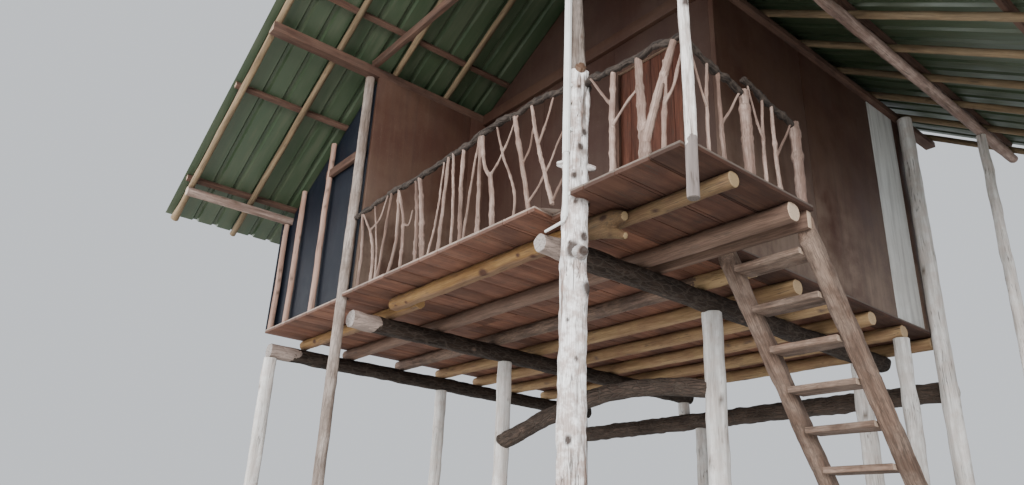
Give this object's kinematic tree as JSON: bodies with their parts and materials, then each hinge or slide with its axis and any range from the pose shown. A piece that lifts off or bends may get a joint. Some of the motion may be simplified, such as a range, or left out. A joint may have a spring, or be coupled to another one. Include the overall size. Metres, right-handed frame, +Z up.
{
  "type": "tree house on log posts",
  "caption": "Raised plank tree house on natural log posts, with a railed porch, a screened side bay, a ribbed metal roof and a log stair.",
  "frame": {"origin": "on the ground under the middle of the roof", "axes": "+X to the right as one faces the porch, +Y from the porch towards the room, +Z up"},
  "size_m": [7.2498, 6.2, 6.8019],
  "materials": {
    "peeled_log": "peeled and weathered, pale grey with knots",
    "grey_branch": "weathered branch wood",
    "bark_log": "dark rough bark",
    "ochre_log": "debarked, yellow ochre",
    "deck_boards": "rough sawn, red brown",
    "wall_boards": "worn red brown paint on plywood",
    "sawn_timber": "stained sawn timber",
    "door_boards": "red brown boards",
    "roof_poles": "round poles, orange brown",
    "stair_wood": "worn dark brown timber",
    "hinge_iron": "dull dark iron",
    "roof_metal": "dull dark green",
    "screen_cloth": "woven sheet, dark blue black",
    "conduit_plastic": "matt white"
  },
  "bodies": {
    "house": {"front_post": "peeled_log", "front_post_upper": "grey_branch", "left_corner_post": "peeled_log", "right_corner_post": "peeled_log", "under_floor_posts": "peeled_log", "rear_posts": "peeled_log", "rear_log_beam": "bark_log", "arched_log": "bark_log", "main_girder_log": "bark_log", "side_girder_logs": "bark_log", "front_joist": "ochre_log", "forked_joist_splice": "ochre_log", "landing_joists": "ochre_log", "floor_joists": "ochre_log", "porch_deck": "deck_boards", "room_floor": "deck_boards", "bay_floor": "deck_boards", "front_left_railing": "grey_branch", "front_right_railing": "grey_branch", "side_railing": "grey_branch", "front_wall_left": "wall_boards", "front_wall_right": "wall_boards", "front_wall_over_door": "wall_boards", "left_wall": "wall_boards", "right_wall": "wall_boards", "rear_wall": "wall_boards", "gables": "wall_boards", "wall_plates": "sawn_timber", "cross_beams": "sawn_timber", "door_frame": "sawn_timber", "hinge_pins": "hinge_iron", "ridge_beam": "sawn_timber", "eave_beams": "grey_branch", "pole_rafters": "roof_poles", "purlins": "sawn_timber", "roof_sheets": "roof_metal", "ridge_cap": "roof_metal", "bay_studs": "grey_branch", "bay_screens": "screen_cloth", "stair_stringers": "bark_log", "stair_treads": "stair_wood", "post_conduit": "conduit_plastic"},
    "door_leaf": {"door": "door_boards", "hinge_knuckles": "hinge_iron"}
  },
  "joints": [
    {"name": "door_hinge", "type": "hinge", "parent": "house", "child": "door_leaf", "pos_m": [1.1375, -0.641, 4.43], "axis": [0, 0, -1], "range_deg": [0, 100]}
  ]
}
